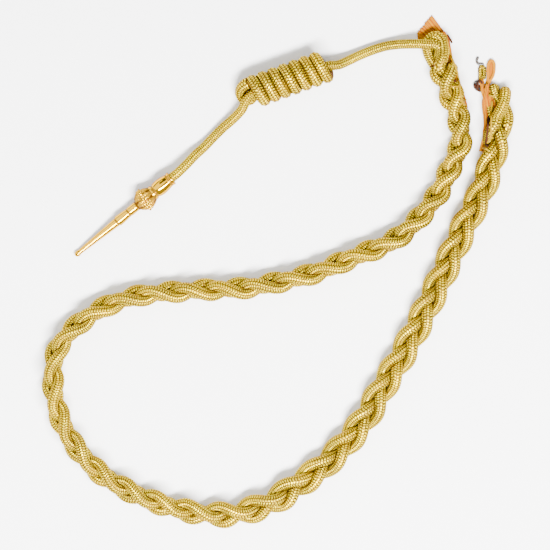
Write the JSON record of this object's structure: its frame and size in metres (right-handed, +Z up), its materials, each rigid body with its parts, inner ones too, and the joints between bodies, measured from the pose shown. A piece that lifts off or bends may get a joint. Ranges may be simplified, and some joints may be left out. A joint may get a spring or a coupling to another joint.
{
  "type": "aiguillette",
  "caption": "Plaited gold cord loop for a dress uniform, with a drop cord, a barrel knot and a cast metal tag, laid flat.",
  "frame": {"origin": "middle of the bounding box seen from above, on the surface it lies on", "axes": "+Z up from the surface; +Y towards the end where the drop cord and the tag start; +X towards the plait's free end"},
  "size_m": [0.2998, 0.3256, 0.0208],
  "materials": {
    "gold_cord": "knitted gold wire cord",
    "polished_metal": "polished gilt",
    "orange_thread": "loose silk thread",
    "dark_wire": "dull wire"
  },
  "bodies": {
    "root": {"plait_strand_a": "gold_cord", "plait_strand_b": "gold_cord", "plait_strand_c": "gold_cord", "drop_cord": "gold_cord", "knot_wraps": "gold_cord", "knot_bight": "gold_cord", "metal_tag": "polished_metal", "backing_upper": "orange_thread", "backing_right": "orange_thread", "gold_stub": "gold_cord", "wire_hook_upper": "dark_wire", "wire_hook_lower": "dark_wire"}
  },
  "joints": []
}
